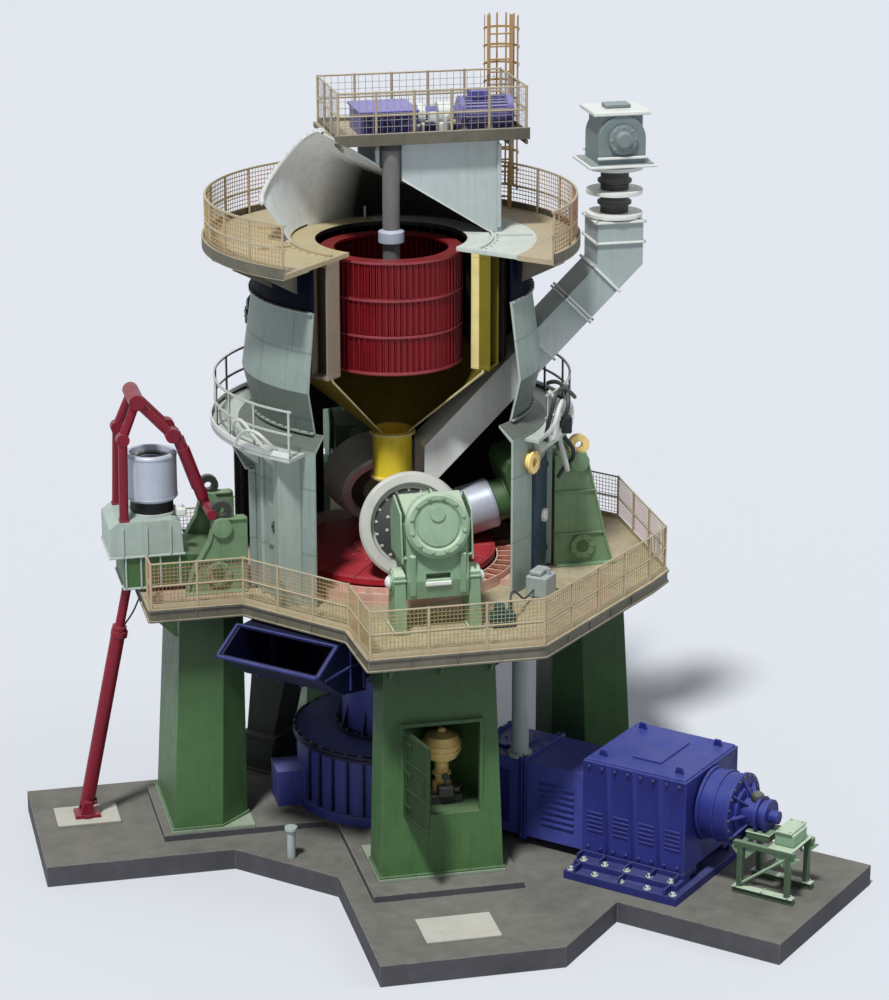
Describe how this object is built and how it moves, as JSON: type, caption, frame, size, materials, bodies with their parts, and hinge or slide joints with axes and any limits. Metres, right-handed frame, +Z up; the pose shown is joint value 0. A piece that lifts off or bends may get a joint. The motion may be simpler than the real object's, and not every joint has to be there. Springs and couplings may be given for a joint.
{
  "type": "vertical roller mill",
  "caption": "Vertical roller mill on its foundation, with grinding table, rollers on rocker arms, classifier, feed chute and platforms; part of the housing is cut away.",
  "frame": {"origin": "on the mill's vertical axis, at the underside of the foundation plinth", "axes": "+Z up; -Y towards the front rocker arm, +X towards the feed chute; the motor lies between +X and -Y"},
  "size_m": [18.5641, 16.0641, 19.05],
  "materials": {
    "plinth_concrete": "matte",
    "sole_plate": "satin",
    "pale_pad": "matte",
    "green_paint": "satin",
    "light_green_paint": "satin",
    "gold_paint": "gloss",
    "navy_paint": "satin",
    "blue_paint": "satin",
    "dark_blue_paint": "satin",
    "dark_grey_paint": "matte",
    "tan_paint": "matte",
    "railing_paint": "satin",
    "table_red": "satin",
    "nozzle_steel": "matte",
    "tyre_steel": "satin",
    "small_tyre_steel": "satin",
    "crimson_paint": "satin",
    "housing_grey": "satin",
    "white_paint": "satin",
    "vane_yellow": "satin",
    "rotor_red": "satin",
    "cone_yellow": "satin",
    "violet_paint": "satin"
  },
  "bodies": {
    "frame": {"foundation_plinth": "plinth_concrete", "sole_plates": "sole_plate", "cylinder_pads": "pale_pad", "pedestal_front": "green_paint", "pedestal_left": "green_paint", "pedestal_right": "green_paint", "pedestal_back": "green_paint", "accumulator_base": "dark_grey_paint", "spring_accumulator": "gold_paint", "gearbox": "navy_paint", "drive_housing": "blue_paint", "motor_body": "blue_paint", "motor_rails": "dark_blue_paint", "motor_tail": "blue_paint", "barring_stand": "light_green_paint", "gas_ring": "navy_paint", "hot_gas_duct": "navy_paint", "reject_chute": "dark_grey_paint", "service_deck": "tan_paint", "deck_railing": "railing_paint", "nozzle_ring": "nozzle_steel", "arm_bearings_front": "light_green_paint", "arm_bearings_back": "light_green_paint", "guard_plates_right": "green_paint", "swing_arm_left": "green_paint", "guard_plates_left": "green_paint", "swing_cylinder": "crimson_paint", "lifting_frame": "crimson_paint", "mill_body": "housing_grey", "body_columns": "housing_grey", "ring_walkway": "white_paint", "walkway_railing": "white_paint", "classifier_shell": "housing_grey", "classifier_band": "navy_paint", "classifier_cover": "white_paint", "guide_vanes": "vane_yellow", "grit_cone": "cone_yellow", "upper_platform": "railing_paint", "upper_railing": "railing_paint", "outlet_hood": "housing_grey", "drive_support": "white_paint", "top_platform": "tan_paint", "rotor_bearing": "dark_grey_paint", "top_railing": "railing_paint", "classifier_drive": "violet_paint", "access_ladder": "railing_paint", "feed_chute": "housing_grey", "feed_bellows": "dark_grey_paint", "rotary_feeder": "housing_grey"},
    "table": {"grinding_table": "table_red"},
    "rotor": {"classifier_rotor": "rotor_red"},
    "front_arm": {"rocker_arm_front": "light_green_paint"},
    "front_roller": {"roller_front": "tyre_steel"},
    "back_arm": {"rocker_arm_back": "light_green_paint"},
    "back_roller": {"roller_back": "tyre_steel"},
    "right_arm": {"swing_arm_right": "green_paint"},
    "right_roller": {"roller_right": "small_tyre_steel"},
    "left_roller": {"roller_left": "small_tyre_steel"},
    "door": {"pedestal_door": "green_paint"}
  },
  "joints": [
    {"name": "table_spin", "type": "hinge", "parent": "frame", "child": "table", "pos_m": [0, 0, 6.5], "axis": [0, 0, 1], "continuous": true},
    {"name": "rotor_spin", "type": "hinge", "parent": "frame", "child": "rotor", "pos_m": [0, 0, 12.5], "axis": [0, 0, 1], "continuous": true},
    {"name": "front_arm_lift", "type": "hinge", "parent": "frame", "child": "front_arm", "pos_m": [0, -4.4, 7.6], "axis": [1, 0, 0], "range_deg": [0, 3]},
    {"name": "front_roller_spin", "type": "hinge", "parent": "front_arm", "child": "front_roller", "pos_m": [0, -1.75, 7.99646], "axis": [0, -0.9511, 0.309], "continuous": true},
    {"name": "back_arm_lift", "type": "hinge", "parent": "frame", "child": "back_arm", "pos_m": [0, 4.4, 7.6], "axis": [-1, 0, 0], "range_deg": [0, 3]},
    {"name": "back_roller_spin", "type": "hinge", "parent": "back_arm", "child": "back_roller", "pos_m": [0, 1.75, 7.99646], "axis": [0, 0.9511, 0.309], "continuous": true},
    {"name": "right_arm_lift", "type": "hinge", "parent": "frame", "child": "right_arm", "pos_m": [4.35, 0, 6.95], "axis": [0, 1, 0], "range_deg": [0, 3]},
    {"name": "right_roller_spin", "type": "hinge", "parent": "right_arm", "child": "right_roller", "pos_m": [1.90195, 0, 7.70202], "axis": [-0.9659, 0, -0.2588], "continuous": true},
    {"name": "left_roller_spin", "type": "hinge", "parent": "frame", "child": "left_roller", "pos_m": [-5.71, 0, 9.12], "axis": [0, 0, 1], "continuous": true},
    {"name": "door_hinge", "type": "hinge", "parent": "frame", "child": "door", "pos_m": [-0.84, -5.10658, 3.2], "axis": [0, 0, 1], "range_deg": [-14, 76]}
  ]
}
